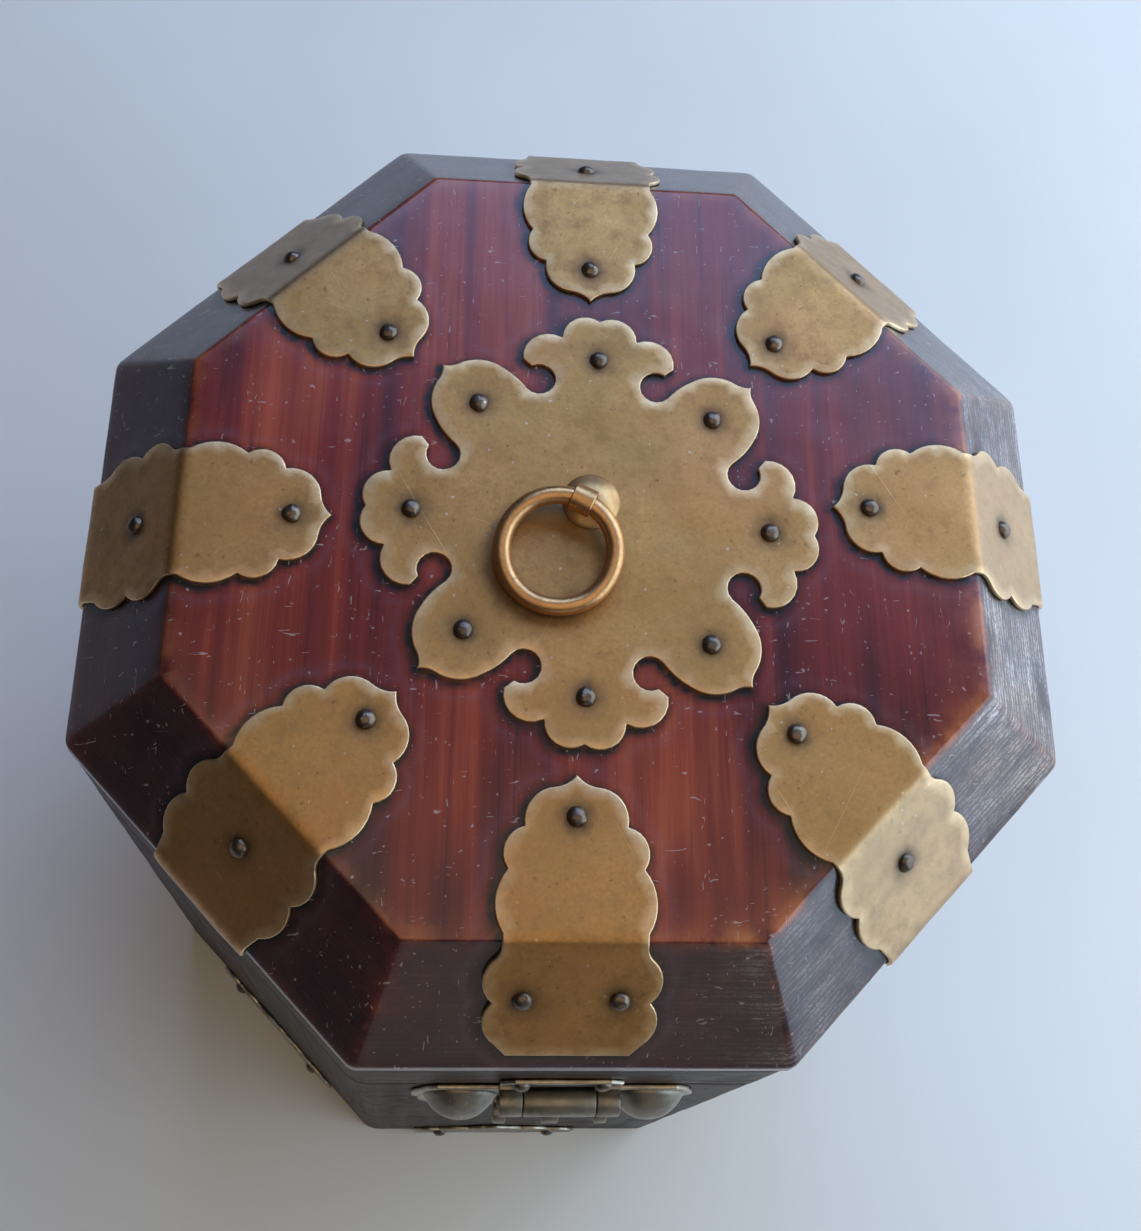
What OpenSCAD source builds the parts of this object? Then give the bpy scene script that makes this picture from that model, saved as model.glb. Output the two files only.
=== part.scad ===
// Octagonal wooden box with a bevelled, hinged lid, nailed sheet-brass mounts,
// a ring pull in the middle of the lid and a hinged hasp at the front.
// Millimetres, +Z up. The box stands on z = 0, its front faces -Y.

/* [Box] */
// Width across two opposite flat sides
across_flats = 220; // [180:1:260]
// Height of the closed box, without the ring pull
total_h = 270; // [180:1:300]
// Thickness of the wall boards and of the lid's rails
board_t = 12; // [8:0.5:16]
// Radius of the rounded upright corners
corner_r = 8; // [4:0.5:12]
// Thickness of the bottom board
bottom_t = 8; // [5:0.5:12]
// Height of the bottom board above the table
bottom_lift = 4; // [2:0.5:8]
// Thickness of the cloth on the floor of the box
lining_t = 1.5; // [1:0.1:3]

/* [Lid] */
// Height of the bevel round the lid's top
bevel_h = 23; // [16:0.5:28]
// Width of the bevel, seen from above
bevel_w = 22; // [16:0.5:28]
// Height of the lid's upright rim, under the bevel
rim_h = 40; // [22:1:44]
// Height of the lid panel's own upright edge, at the top of the rim
panel_edge_h = 4; // [3:0.5:8]
// Gap between the closed lid and the body
lid_gap = 0.4; // [0.3:0.05:0.8]
// How far the sides of the lid's brass straps reach down the rim
strap_leg = 13; // [8:0.5:15]

/* [Brass] */
// Thickness of the sheet brass
sheet_t = 1; // [0.8:0.1:1.4]
// Radius of a nail's round head
nail_r = 2.2; // [2:0.1:2.6]
// Height of a nail's round head
nail_h = 1.6; // [1.2:0.1:2.4]
// Length of a nail's shank, measured from under its head
nail_len = 7; // [5:0.5:9]

/* [Ring pull] */
// Radius of the ring, to the middle of its wire
ring_r = 12.3; // [10:0.1:15]
// Radius of the ring's wire
wire_r = 2.05; // [1.6:0.05:2.4]
// Height of the ring's eye above the brass plate
eye_h = 5.6; // [5.4:0.1:6.6]

/* [Hinges and hasp] */
// Outer radius of the hinge barrels
barrel_r = 3.3; // [3:0.1:3.5]
// Radius of the hinge pins
pin_r = 1.3; // [1:0.1:1.6]
// Radial clearance between a pin and the knuckle that turns on it
pin_play = 0.08; // [0.03:0.01:0.1]
// Distance of each back hinge from the middle of the box
hinge_x = 32; // [28:0.5:32]
// Length of a back hinge's barrel
hinge_len = 19; // [17:0.5:19.5]
// Length of the hasp's barrel
hasp_len = 27; // [22:0.5:30]

// Radius of the two round bosses on the lock plate
knob_r = 8.5; // [6:0.1:8.8]
// How far the bosses stand out of the lock plate
knob_h = 5.9; // [3:0.1:6]

/* [Hidden] */
$fn = 48;
SIDES = ["front", "front_right", "right", "back_right", "back", "back_left", "left", "front_left"];

apothem = across_flats / 2;             // middle to the flat of a side
rim_z = total_h - bevel_h;              // lower edge of the bevel
joint_z = rim_z - rim_h;                // where the lid leaves the body
top_apothem = apothem - bevel_w;
slope = sqrt(bevel_w * bevel_w + bevel_h * bevel_h);
tilt = atan2(bevel_h, bevel_w);         // steepness of the bevel
inner = apothem - board_t;
body_top = joint_z - lid_gap;
panel_z = rim_z - panel_edge_h;
lid_corner_r = 3;                       // rounding of the upright corners at the top of the rim

k = across_flats / 220;                 // the brass outlines grow with the box
mitre = sheet_t * tan(tilt / 2);
low_mitre = sheet_t * tan((90 - tilt) / 2);
fold_flat = 1;                          // a strap's sides run straight this far from each fold

// The mounts were nailed on by hand: how far each one is off the middle of its side
strap_shift = [-2, -1, 6, 1.8, -0.7, 0.5, 0.3, -0.5];
base_shift = [-5, 1, -2, 0, 1.5, 0, 2, 1];
medal_at = [1.2, 0.5];
medal_turn = -2;
boss_at = [0.9, 5];
eye_at = [-1.4, 2.9];                   // the eye leans off the boss, towards the ring
ring_heading = 245;                     // direction in which the ring lies, seen from above

plate_top = total_h + sheet_t;
eye_z = plate_top + eye_h;
ring_drop = asin((eye_h - wire_r - 0.1) / (2 * ring_r));
eye_in = wire_r + 0.35;                 // the eye's band, inside and outside radius
eye_out = eye_in + 0.7;
eye_w = 5;                              // width of the band
boss_r = 6.5;
boss_h = 2.6;
stem_x = -2.9;                          // the band's stem, behind the eye
stem_t = 1.8;                           // thickness of its two legs together
stem_len = 8;                           // length of the stem below the brass plate

shank_r = 0.8;
axis_out = barrel_r + 0.35;             // barrel axis, out from the wood
hinge_z = joint_z - lid_gap / 2;
hasp_z = joint_z + 1;
end_knuckle = 5.4;                      // length of each end knuckle of a back hinge
hasp_knuckle = 5.2;                     // length of each end knuckle of the hasp's barrel
slit = 0.2;                             // gap between two knuckles
pin_end = 0.6;                          // how far a pin stands out of its barrel
hem = 3.2;                              // distance from a barrel's axis to the edge of its leaf
web = 4;                                // height of the tongues that join a leaf to its knuckles
hinge_nail = [6, 8.5];                  // hinge nails, from the middle of the leaf and from the axis
hasp_nail = [9, 8.5];
lock_nails = [[26, -26], [21, -45]];    // lock plate nails, from the middle and from the top of the body
base_nail = [17.5, 8];
knob_at = [21.7, -12.8];                // bosses, from the middle and from the top of the body
hasp_y = apothem + sheet_t + 0.5;       // inner face of the hasp's plate
lock_z = joint_z - 27;                  // height of the lock's eyes
lock_bore = 1.6;                        // radius of the hole through the three eyes
lock_ear = 2.75;                        // outside radius of the eyes
lock_y = hasp_y + sheet_t + 0.05 + lock_bore;
lock_eye = 3;                           // thickness of each fixed eye
hasp_eye = 4;                           // thickness of the hasp's eye
eye_x = 12;                             // distance of each fixed eye from the middle

// ---- outlines ----

// Points of an arc from p to q, p left out: it bulges by h to the right of the way
function bulge(p, q, h, n = 6) =
    h == 0 ? [q] :
    let (d = q - p, c = norm(d), r = (c * c / 4 + h * h) / (2 * h),
         m = (p + q) / 2 - [d[1], -d[0]] / c * (r - h),
         a = atan2(p[1] - m[1], p[0] - m[0]), turn = 2 * asin(c / 2 / abs(r)) * sign(h))
    [for (i = [1 : n]) m + abs(r) * [cos(a + turn * i / n), sin(a + turn * i / n)]];

// A chain of arcs from a start point: each step is [end point, bulge]
function chain(p, steps, i = 0) =
    i == len(steps) ? [] :
    concat(bulge(p, steps[i][0], steps[i][1]), chain(steps[i][0], steps, i + 1));

// A half outline on the +X side, from the bottom up, closed by its mirror image
function both_halves(half) =
    concat(half, [for (i = [len(half) - 2 : -1 : 1]) [-half[i][0], half[i][1]]]);

function turned(pts, a) =
    [for (p = pts) [p[0] * cos(a) - p[1] * sin(a), p[0] * sin(a) + p[1] * cos(a)]];

// Regular octagon with rounded corners and its flats towards the axes
function octagon(ap, r, n = 5) = [for (j = [0 : 7], i = [0 : n])
    let (c = (ap - r) / cos(22.5), a = 45 * j + 22.5, b = 45 * j + 45 * i / n)
    [c * cos(a) + r * cos(b), c * sin(a) + r * sin(b)]];

// Lid strap, y = 0 at the upper fold and positive on the top face
function strap_outline(front) = let (
    steps = concat(
        front ?
            [[[12.6 * k, -0.865 * slope], 0], [[15 * k, -0.78 * slope], 0]] :
            [[[9 * k, 2.5 - slope - strap_leg], 1.2], [[14 * k, -slope - fold_flat], 1.6],
             [[14 * k, fold_flat - slope], 0], [[15 * k, -0.82 * slope], 0]],
        [[[16 * k, -0.455 * slope], 2.2], [[16.2 * k, -0.14 * slope], 2], [[14.6 * k, -fold_flat], -0.4],
         [[14.6 * k, fold_flat], 0], [[13.9 * k, 13.5 * k], 2.1], [[10.6 * k, 22 * k], 2.5],
         [[4.4 * k, 30 * k], 2.3], [[0, 32.5 * k], -0.5]]),
    start = [0, front ? -0.865 * slope : -slope - strap_leg])
    both_halves(concat([start], chain(start, steps)));

// Plate round the ring pull: four cloud lobes on the axes, four leaf lobes between them
function leaf(u, w) = [u - w, u + w] / sqrt(2);
notch = [13.5, 33.8];
notch_r = 3.7;
hook = [16.9, 36.9];
medal_eighth = concat(
    chain(leaf(50.4, 0), [[leaf(48.3, 2.7), -0.3], [leaf(41, 10), 1.5], [leaf(33.5, 10.7), 0.4]]),
    [for (i = [1 : 12]) let (a = 315 - 255 * i / 12) notch + notch_r * [cos(a), sin(a)]],
    chain(hook, [[[8.7, 45], 4.2], [[0, 49.8], 3]]));
medal_outline = [for (j = [0 : 3]) each turned(concat(
    medal_eighth, [for (i = [len(medal_eighth) - 2 : -1 : 0]) [-medal_eighth[i][0], medal_eighth[i][1]]],
    [[-leaf(50.4, 0)[0], leaf(50.4, 0)[1]]]), 90 * j)] * k;

// Mount at the foot of each wall, y = 0 at the table
base_outline = both_halves(concat([[0, 1], [26 * k, 1]], chain([26 * k, 1],
    [[[26 * k, 9], 0], [[18 * k, 15.5], 2.4], [[8.5 * k, 20.5], 2], [[3.5 * k, 25], 1], [[0, 28], -0.4]])));

// Lock plate, y = 0 at its top edge
lock_outline = both_halves(concat([[0, -45]], chain([0, -45],
    [[[9, -48], -1], [[27, -46], 6.5], [[30, -28], 2.6], [[31, -9], 2.4], [[27, 0], 1], [[0, 0], 0]])));

// Leaf of a back hinge, y = 0 at the barrel's axis and positive away from it
hinge_outline = both_halves(concat([[0, hem], [hinge_len / 2, hem]], chain([hinge_len / 2, hem],
    [[[hinge_len / 2, 8], 0], [[hinge_len / 2 - 4, 15], 1.8], [[2.5, 19], 1], [[0, 21], -0.3]])));

// Hasp, y = 0 at the barrel's axis
hasp_outline = both_halves(concat([[0, -41]], chain([0, -41],
    [[[3, -38], -0.3], [[9, -32], 1.8], [[8.3, -22], 1.2], [[10, -13], 0.8], [[10, -6], 0.8], [[8, -3.8], 0],
     [[8, 0], 0], [[0, 0], 0]])));

// ---- placing ----

// Turns what is drawn for the front side to side i of SIDES
module on_side(i) rotate([0, 0, 45 * i]) children();

// What is common to the children as turned to each of the eight sides
module for_all_sides() intersection_for (i = [0 : 7]) on_side(i) children();

// Stands a flat outline up against the front of the box, y = 0 of the outline at height z
module upright(out, z) translate([0, -out, z]) rotate([90, 0, 0]) children();

// One eighth of the plan, on the front side
module eighth() polygon([[0, 0], [-200 * tan(22.5), -200], [200 * tan(22.5), -200]]);

// Part of a ball, with radius r at z = 0 and height h above it
module dome(r, h, sink = 0) {
    ball = (r * r + h * h) / (2 * h);
    intersection() {
        translate([0, 0, h - ball]) sphere(ball);
        translate([0, 0, -sink]) cylinder(r = r + 1, h = h + sink + 1);
    }
}

module nail() {
    dome(nail_r, nail_h);
    translate([0, 0, -nail_len]) cylinder(r = shank_r, h = nail_len + 0.2);
}

// A short stretch of barrel along X, with its bore
module knuckle(x0, x1, bore) translate([x0, 0, 0]) rotate([0, 90, 0]) difference() {
    cylinder(r = barrel_r, h = x1 - x0);
    translate([0, 0, -1]) cylinder(r = bore, h = x1 - x0 + 2);
}

// ---- wooden body ----

module wall(i) color("#4a1f17") on_side(i) linear_extrude(body_top) intersection() {
    difference() {
        polygon(octagon(apothem, corner_r));
        polygon(octagon(inner, 0.5, 1));
    }
    eighth();
}

module bottom_board() color("#5a2a1c")
    translate([0, 0, bottom_lift]) linear_extrude(bottom_t) polygon(octagon(inner, 0.5, 1));

module floor_lining() color("#5d1420")
    translate([0, 0, bottom_lift + bottom_t]) linear_extrude(lining_t) polygon(octagon(inner - 0.5, 1, 1));

// ---- brass on the body ----

module base_mount(i) color("#8a7340") on_side(i) translate([base_shift[i], 0, 0])
    upright(apothem, 0) linear_extrude(sheet_t) polygon(base_outline);

module lock_plate() color("#8a7340") {
    upright(apothem, body_top - 1) linear_extrude(sheet_t) polygon(lock_outline);
    for (side = [-1, 1]) translate([side * knob_at[0], 0, 0])
        upright(apothem + sheet_t, body_top + knob_at[1]) dome(knob_r, knob_h, sheet_t / 2);
}

module body_nails() color("#5b4a33") {
    for (i = [0 : 7], side = [-1, 1]) on_side(i)
        translate([base_shift[i] + side * base_nail[0] * k, 0, 0])
            upright(apothem + sheet_t, base_nail[1]) nail();
    for (side = [-1, 1], at = lock_nails)
        translate([side * at[0], 0, 0]) upright(apothem + sheet_t, body_top + at[1]) nail();
    for (side = [-1, 1], x = [-1, 1]) on_side(4)
        translate([side * hinge_x + x * hinge_nail[0], 0, 0])
            upright(apothem + sheet_t, hinge_z - hinge_nail[1]) nail();
}

// Two eyes that stand out of the lock plate, one each side of the hasp
module lock_eyes() color("#8a7340") for (side = [-1, 1])
    translate([side * eye_x - lock_eye / 2, 0, lock_z]) difference() {
        union() {
            translate([0, -lock_y, 0]) rotate([0, 90, 0]) cylinder(r = lock_ear, h = lock_eye);
            translate([0, -lock_y, -lock_ear]) cube([lock_eye, lock_y - apothem - sheet_t, 2 * lock_ear]);
        }
        translate([-1, -lock_y, 0]) rotate([0, 90, 0]) cylinder(r = lock_bore, h = lock_eye + 2);
    }

// ---- hinges at the back ----

// The two end knuckles of a barrel of length len and their tongues: way = -1 downwards, 1 upwards
module end_knuckles(len, each_len, way) for (x = [-len / 2, len / 2 - each_len]) difference() {
    union() {
        translate([0, -apothem - axis_out, 0]) knuckle(x, x + each_len, pin_r);
        translate([x, -apothem - sheet_t, way < 0 ? -web : 0]) cube([each_len, sheet_t, web]);
    }
    translate([x - 1, -apothem - axis_out, 0]) rotate([0, 90, 0]) cylinder(r = pin_r, h = each_len + 2);
}

module hinge_body_leaves() color("#8a7340") on_side(4) for (side = [-1, 1])
    translate([side * hinge_x, 0, hinge_z]) {
        upright(apothem, 0) linear_extrude(sheet_t) mirror([0, 1]) polygon(hinge_outline);
        end_knuckles(hinge_len, end_knuckle, -1);
    }

module hinge_lid_leaves() color("#8a7340") on_side(4) for (side = [-1, 1])
    translate([side * hinge_x, 0, hinge_z]) {
        x = hinge_len / 2 - end_knuckle - slit;
        upright(apothem, 0) linear_extrude(sheet_t) polygon(hinge_outline);
        translate([0, -apothem - axis_out, 0]) knuckle(-x, x, pin_r + pin_play);
        translate([-x, -apothem - sheet_t, 0]) cube([2 * x, sheet_t, web]);
    }

// A pin along X through a barrel of length len
module pin(len) translate([-len / 2 - pin_end, -apothem - axis_out, 0])
    rotate([0, 90, 0]) cylinder(r = pin_r, h = len + 2 * pin_end);

module hinge_pins() color("#6f5c38") on_side(4) for (side = [-1, 1])
    translate([side * hinge_x, 0, hinge_z]) pin(hinge_len);

// ---- wooden lid ----

// Solid board with its grain from front to back, bevelled all round
module lid_panel() color("#6b2a1c") intersection() {
    translate([0, 0, panel_z]) linear_extrude(total_h - panel_z) polygon(octagon(apothem, lid_corner_r));
    for_all_sides() translate([0, 0, rim_z]) rotate([90, 0, 90])
        linear_extrude(2 * across_flats, center = true) polygon([
            [-apothem, -panel_edge_h - 1], [-apothem, 0], [-top_apothem, bevel_h],
            [apothem + 1, bevel_h], [apothem + 1, -panel_edge_h - 1]]);
}

module lid_rail(i) color("#4a1f17") on_side(i)
    translate([0, 0, joint_z]) linear_extrude(panel_z - joint_z) intersection() {
        difference() {
            polygon(octagon(apothem, corner_r));
            polygon(octagon(inner, 0.5, 1));
        }
        eighth();
    }

// ---- brass on the lid ----

// Sheet folded over the two edges of a bevel on the front side, origin at the upper fold
module folded_sheet() rotate([90, 0, 90]) linear_extrude(80, center = true) polygon([
    [60, 0], [0, 0], [-bevel_w, -bevel_h], [-bevel_w, -bevel_h - 60],
    [-bevel_w - sheet_t, -bevel_h - 60], [-bevel_w - sheet_t, low_mitre - bevel_h],
    [-mitre, sheet_t], [60, sheet_t]]);

// Thick plate with the part of a strap's outline between two lengths, to cut the sheet with
module strap_band(i, y0, y1) translate([0, 0, -0.5]) linear_extrude(sheet_t + 1) intersection() {
    polygon(strap_outline(i == 0));
    translate([-40, y0]) square([80, y1 - y0]);
}

module lid_strap(i) color("#8f7842") on_side(i) translate([strap_shift[i], -top_apothem, total_h])
    intersection() {
        folded_sheet();
        union() {
            strap_band(i, -mitre, 60);
            rotate([tilt, 0, 0]) strap_band(i, -slope - low_mitre, mitre);
            if (i > 0) translate([0, -bevel_w, -bevel_h]) rotate([90, 0, 0])
                translate([0, slope, 0]) strap_band(i, -slope - 60, low_mitre - slope);
        }
    }

module on_medallion() translate([medal_at[0], medal_at[1], total_h]) rotate([0, 0, medal_turn]) children();

module medallion() color("#8f7842") on_medallion() linear_extrude(sheet_t) polygon(medal_outline);

module lid_nails() color("#5b4a33") {
    for (i = [0 : 7]) {
        on_medallion() rotate([0, 0, 45 * i]) translate([0, (i % 2 == 0 ? 39.7 : 37.7) * k, sheet_t]) nail();
        on_side(i) translate([strap_shift[i], -top_apothem, total_h]) {
            translate([0, 24 * k, sheet_t]) nail();
            for (x = i == 0 ? [-9.8 * k, 9.8 * k] : [0]) rotate([tilt, 0, 0])
                translate([x, -0.44 * slope, sheet_t]) nail();
        }
    }
    for (side = [-1, 1], x = [-1, 1]) on_side(4)
        translate([side * hinge_x + x * hinge_nail[0], 0, 0])
            upright(apothem + sheet_t, hinge_z + hinge_nail[1]) nail();
    for (side = [-1, 1])
        translate([side * hasp_nail[0], 0, 0]) upright(apothem + sheet_t, hasp_z + hasp_nail[1]) nail();
}

// ---- ring pull ----

module ring_boss() color("#8f7842") translate([boss_at[0], boss_at[1], plate_top]) dome(boss_r, boss_h);

module at_eye() translate([eye_at[0], eye_at[1], eye_z]) rotate([0, 0, ring_heading]) children();

// Split pin: its folded band is the eye, its stem leans back into the boss and goes down into the lid
module ring_eye() color("#8a5f3c") at_eye() rotate([90, 0, 0]) {
    difference() {
        union() {
            cylinder(r = eye_out, h = eye_w, center = true);
            linear_extrude(eye_w, center = true) polygon([
                [-eye_out, 0], [stem_x - stem_t / 2, 1.5 - eye_h],
                [stem_x - stem_t / 2, -eye_h - sheet_t - stem_len],
                [stem_x + stem_t / 2, -eye_h - sheet_t - stem_len],
                [stem_x + stem_t / 2, 1.2 - eye_h], [0, -eye_out]]);
        }
        cylinder(r = eye_in, h = eye_w + 2, center = true);
    }
}

module pull_ring() color("#8a5f3c") at_eye() rotate([0, ring_drop, 0])
    translate([ring_r, 0, 0]) rotate_extrude() translate([ring_r, 0]) circle(wire_r);

// ---- hasp ----

module hasp_leaf() color("#8a7340") translate([0, 0, hasp_z]) {
    half = hasp_len / 2;
    upright(apothem, 0) linear_extrude(sheet_t) polygon([
        [-half, hem], [half, hem], [half, 10], [half - 3, 12.5], [3 - half, 12.5], [-half, 10]]);
    end_knuckles(hasp_len, hasp_knuckle, 1);
}

module hasp_pin() color("#6f5c38") translate([0, 0, hasp_z]) pin(hasp_len);

module hasp() color("#8a7340") {
    x = hasp_len / 2 - hasp_knuckle - slit;
    difference() {
        union() {
            translate([0, -apothem - axis_out, hasp_z]) knuckle(-x, x, pin_r + pin_play);
            upright(hasp_y, hasp_z) linear_extrude(sheet_t) polygon(hasp_outline);
            translate([-hasp_eye / 2, -lock_y, lock_z]) rotate([0, 90, 0]) cylinder(r = lock_ear, h = hasp_eye);
            translate([-hasp_eye / 2, -lock_y, lock_z - lock_ear])
                cube([hasp_eye, lock_y - hasp_y - sheet_t / 2, 2 * lock_ear]);
        }
        translate([-hasp_len, -apothem - axis_out, hasp_z])
            rotate([0, 90, 0]) cylinder(r = pin_r + pin_play, h = 2 * hasp_len);
        translate([-hasp_eye, -lock_y, lock_z]) rotate([0, 90, 0]) cylinder(r = lock_bore, h = 2 * hasp_eye);
    }
}

// ---- the nodes ----

for (i = [0 : 7]) {
    wall(i);
    base_mount(i);
    lid_rail(i);
    lid_strap(i);
}
bottom_board();
floor_lining();
body_nails();
lock_plate();
lock_eyes();
hinge_body_leaves();
hinge_pins();
lid_panel();
lid_nails();
medallion();
ring_boss();
ring_eye();
pull_ring();
hinge_lid_leaves();
hasp_leaf();
hasp_pin();
hasp();
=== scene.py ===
# Octagonal wooden box with nailed sheet-brass mounts. Lengths below are in millimetres
# unless a line says otherwise; each mesh is scaled to metres as it is made.
import math
import random

import bmesh
import bpy
import numpy as np
from mathutils import Matrix, Vector, noise
from mathutils.geometry import delaunay_2d_cdt


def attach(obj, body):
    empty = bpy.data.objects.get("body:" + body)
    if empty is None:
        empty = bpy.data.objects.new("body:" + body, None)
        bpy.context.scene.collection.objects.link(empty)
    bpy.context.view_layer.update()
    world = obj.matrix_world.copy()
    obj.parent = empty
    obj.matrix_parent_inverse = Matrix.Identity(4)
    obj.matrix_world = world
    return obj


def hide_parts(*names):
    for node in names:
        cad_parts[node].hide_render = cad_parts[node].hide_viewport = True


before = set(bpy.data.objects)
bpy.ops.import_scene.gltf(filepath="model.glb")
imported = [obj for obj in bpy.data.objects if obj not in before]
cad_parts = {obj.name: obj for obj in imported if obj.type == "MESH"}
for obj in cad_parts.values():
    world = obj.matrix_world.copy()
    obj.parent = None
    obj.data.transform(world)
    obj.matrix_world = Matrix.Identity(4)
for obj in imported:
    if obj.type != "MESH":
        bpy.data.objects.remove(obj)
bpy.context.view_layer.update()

MM = 0.001
SIDES = ["front", "front_right", "right", "back_right", "back", "back_left", "left", "front_left"]

# Sizes of the CAD model. Flat-to-middle distances of the octagons, then heights above the table.
APOTHEM, INNER, CORNER = 110.0, 98.0, 8.0
TOTAL, RIM_Z, PANEL_Z, JOINT_Z, BODY_TOP = 270.0, 247.0, 243.0, 207.0, 206.6
BOTTOM_Z, FLOOR_Z = 4, 12  # under and upper side of the bottom board
BEVEL_W, BEVEL_H = 22.0, 23.0
TOP_AP = APOTHEM - BEVEL_W
SLOPE = math.hypot(BEVEL_W, BEVEL_H)
TILT = math.atan2(BEVEL_H, BEVEL_W)
HALF_SIDE = math.radians(22.5)
TAN = math.tan(HALF_SIDE)
SHEET = 1.0  # thickness of the brass
LEG = 13.0  # how far a strap reaches down the rim
# How far each side's strap and foot mount sit off the middle of their side, in the order of SIDES
STRAP_SHIFT = [-2, -1, 6, 1.8, -0.7, 0.5, 0.3, -0.5]
BASE_SHIFT = [-5, 1, -2, 0, 1.5, 0, 2, 1]
MEDAL_TURN, MEDAL_X, MEDAL_Y = -2, 1.2, 0.5  # degrees and place of the plate round the ring
HINGE_Z, HINGE_X, HINGE_LEN = 206.8, 32.0, 19.0
HASP_Z, HASP_LEN, HASP_Y = 208.0, 27.0, 111.5
AXIS_Y, BARREL, PIN = 113.65, 3.3, 1.3
PLAY, SLIT, KNUCKLE = 0.08, 0.2, 5.4  # round a pin, between knuckles, length of an outer knuckle
WEB_Y, WEB_Z = (-111.6, -110.05), (0.2, 4.5)  # the strip that joins a knuckle to its leaf
LOCK_Z, LOCK_Y = 180.0, 114.15
EYE_R, EYE_BORE = 2.75, 1.6  # the three eyes of the lock

# Nails: (x, y) on the flat mount
BEVEL_NAIL = -0.44 * SLOPE
STRAP_NAILS = [(0, 24), (0, BEVEL_NAIL)]
FRONT_NAILS = [(0, 24), (-9.8, BEVEL_NAIL), (9.8, BEVEL_NAIL)]
FOOT_NAILS = [(-17.5, 8), (17.5, 8)]
HINGE_NAILS = [(-6, 8.5), (6, 8.5)]
LEAF_NAILS = [(-9, 8.5), (9, 8.5)]
LOCK_NAILS = [(x * s, y) for s in (-1, 1) for x, y in ((26, -26), (21, -45))]
MEDAL_NAILS = [tuple(Matrix.Rotation(math.radians(45 * i), 2) @ Vector((0, (39.7, 37.7)[i % 2])))
               for i in range(8)]
NAIL_SEAT = 0.85  # height of a head's foot above the wood, a little down into the brass

# ---- meshes ----


def finish(name, bm, body, nodes, mat, angle=38):
    """A piece from a mesh in millimetres, sharp where it turns by more than the angle."""
    bmesh.ops.recalc_face_normals(bm, faces=bm.faces)
    bmesh.ops.scale(bm, vec=(MM, MM, MM), verts=bm.verts)
    me = bpy.data.meshes.new(name)
    bm.to_mesh(me)
    bm.free()
    ob = bpy.data.objects.new(name, me)
    bpy.context.collection.objects.link(ob)
    me.materials.append(mat)
    me.shade_smooth()
    me.set_sharp_from_angle(angle=math.radians(angle))
    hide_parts(*nodes)
    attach(ob, body)
    return ob


def paint(me, name, values):
    """One or three numbers for each vertex, which the materials read by name."""
    kind, key = ("FLOAT", "value") if np.ndim(values) == 1 else ("FLOAT_VECTOR", "vector")
    me.attributes.new(name, kind, "POINT").data.foreach_set(key, np.ravel(values))


def cut(bm, axis, places):
    """Extra vertices where planes across an axis meet the mesh."""
    n = Vector((0, 0, 0))
    n[axis] = 1
    for p in places:
        geom = bm.verts[:] + bm.edges[:] + bm.faces[:]
        bmesh.ops.bisect_plane(bm, geom=geom, dist=1e-5, plane_co=n * p, plane_no=n)


def steps(lo, hi, step):
    """Places between two ends, the ends left out, about a step apart."""
    n = max(1, round((hi - lo) / step))
    return [lo + (hi - lo) * i / n for i in range(1, n)]


def inset(points, d):
    """The closed outline moved inwards by d. Points run anticlockwise."""
    out = []
    n = len(points)
    for i, p in enumerate(points):
        a = (p - points[i - 1]).normalized()
        b = (points[(i + 1) % n] - p).normalized()
        m = Vector((-a.y - b.y, a.x + b.x))
        if m.length < 1e-6:
            m = Vector((-a.y, a.x))
        m.normalize()
        out.append(p + m * d / max(0.6, m.dot(Vector((-a.y, a.x)))))
    return out


def nearest_edge(points, loop):
    """Distance of each point from a closed outline."""
    p = np.array([(q[0], q[1]) for q in points])
    a = np.array([(q[0], q[1]) for q in loop])
    e = np.roll(a, -1, axis=0) - a
    best = np.full(len(p), 1e9)
    for q, d in zip(a, e):
        u = np.clip(((p - q) @ d) / max(d @ d, 1e-12), 0, 1)
        best = np.minimum(best, np.hypot(*(p - q - u[:, None] * d).T))
    return best


def cap(bm, loop, z, step, rows=()):
    """Flat cap inside a loop of vertices, with an even net of points and extra rows at given y."""
    edge = [v.co.to_2d() for v in loop]
    xs, ys = [p.x for p in edge], [p.y for p in edge]
    net = []
    for j, y in enumerate(sorted(steps(min(ys), max(ys), step) + list(rows))):
        net += [(x + (0.5 * step if j % 2 else 0), y) for x in steps(min(xs), max(xs), step)]
    far = nearest_edge(net, edge) > 0.45 * step if net else []
    pts = edge + [Vector(p) for p, ok in zip(net, far) if ok]
    n = len(edge)
    rim = [(i, (i + 1) % n) for i in range(n)]
    out, _, faces, source, _, _ = delaunay_2d_cdt(pts, rim, [], 1, 1e-6)
    verts = {}
    for f in faces:
        for i in f:
            if i not in verts:
                k = min(source[i]) if source[i] else n
                verts[i] = loop[k] if k < n else bm.verts.new((out[i].x, out[i].y, z))
        tri = [verts[i] for i in f]
        if len(set(tri)) == 3 and not bm.faces.get(tri):
            bm.faces.new(tri)


def skin(bm, loops, closed=False):
    """Faces from each loop of vertices to the next, and from the last to the first if closed."""
    for a, b in zip(loops, loops[1:] + (loops[:1] if closed else [])):
        for i in range(len(a)):
            j = (i + 1) % len(a)
            bm.faces.new((a[i], a[j], b[j], b[i]))


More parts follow.
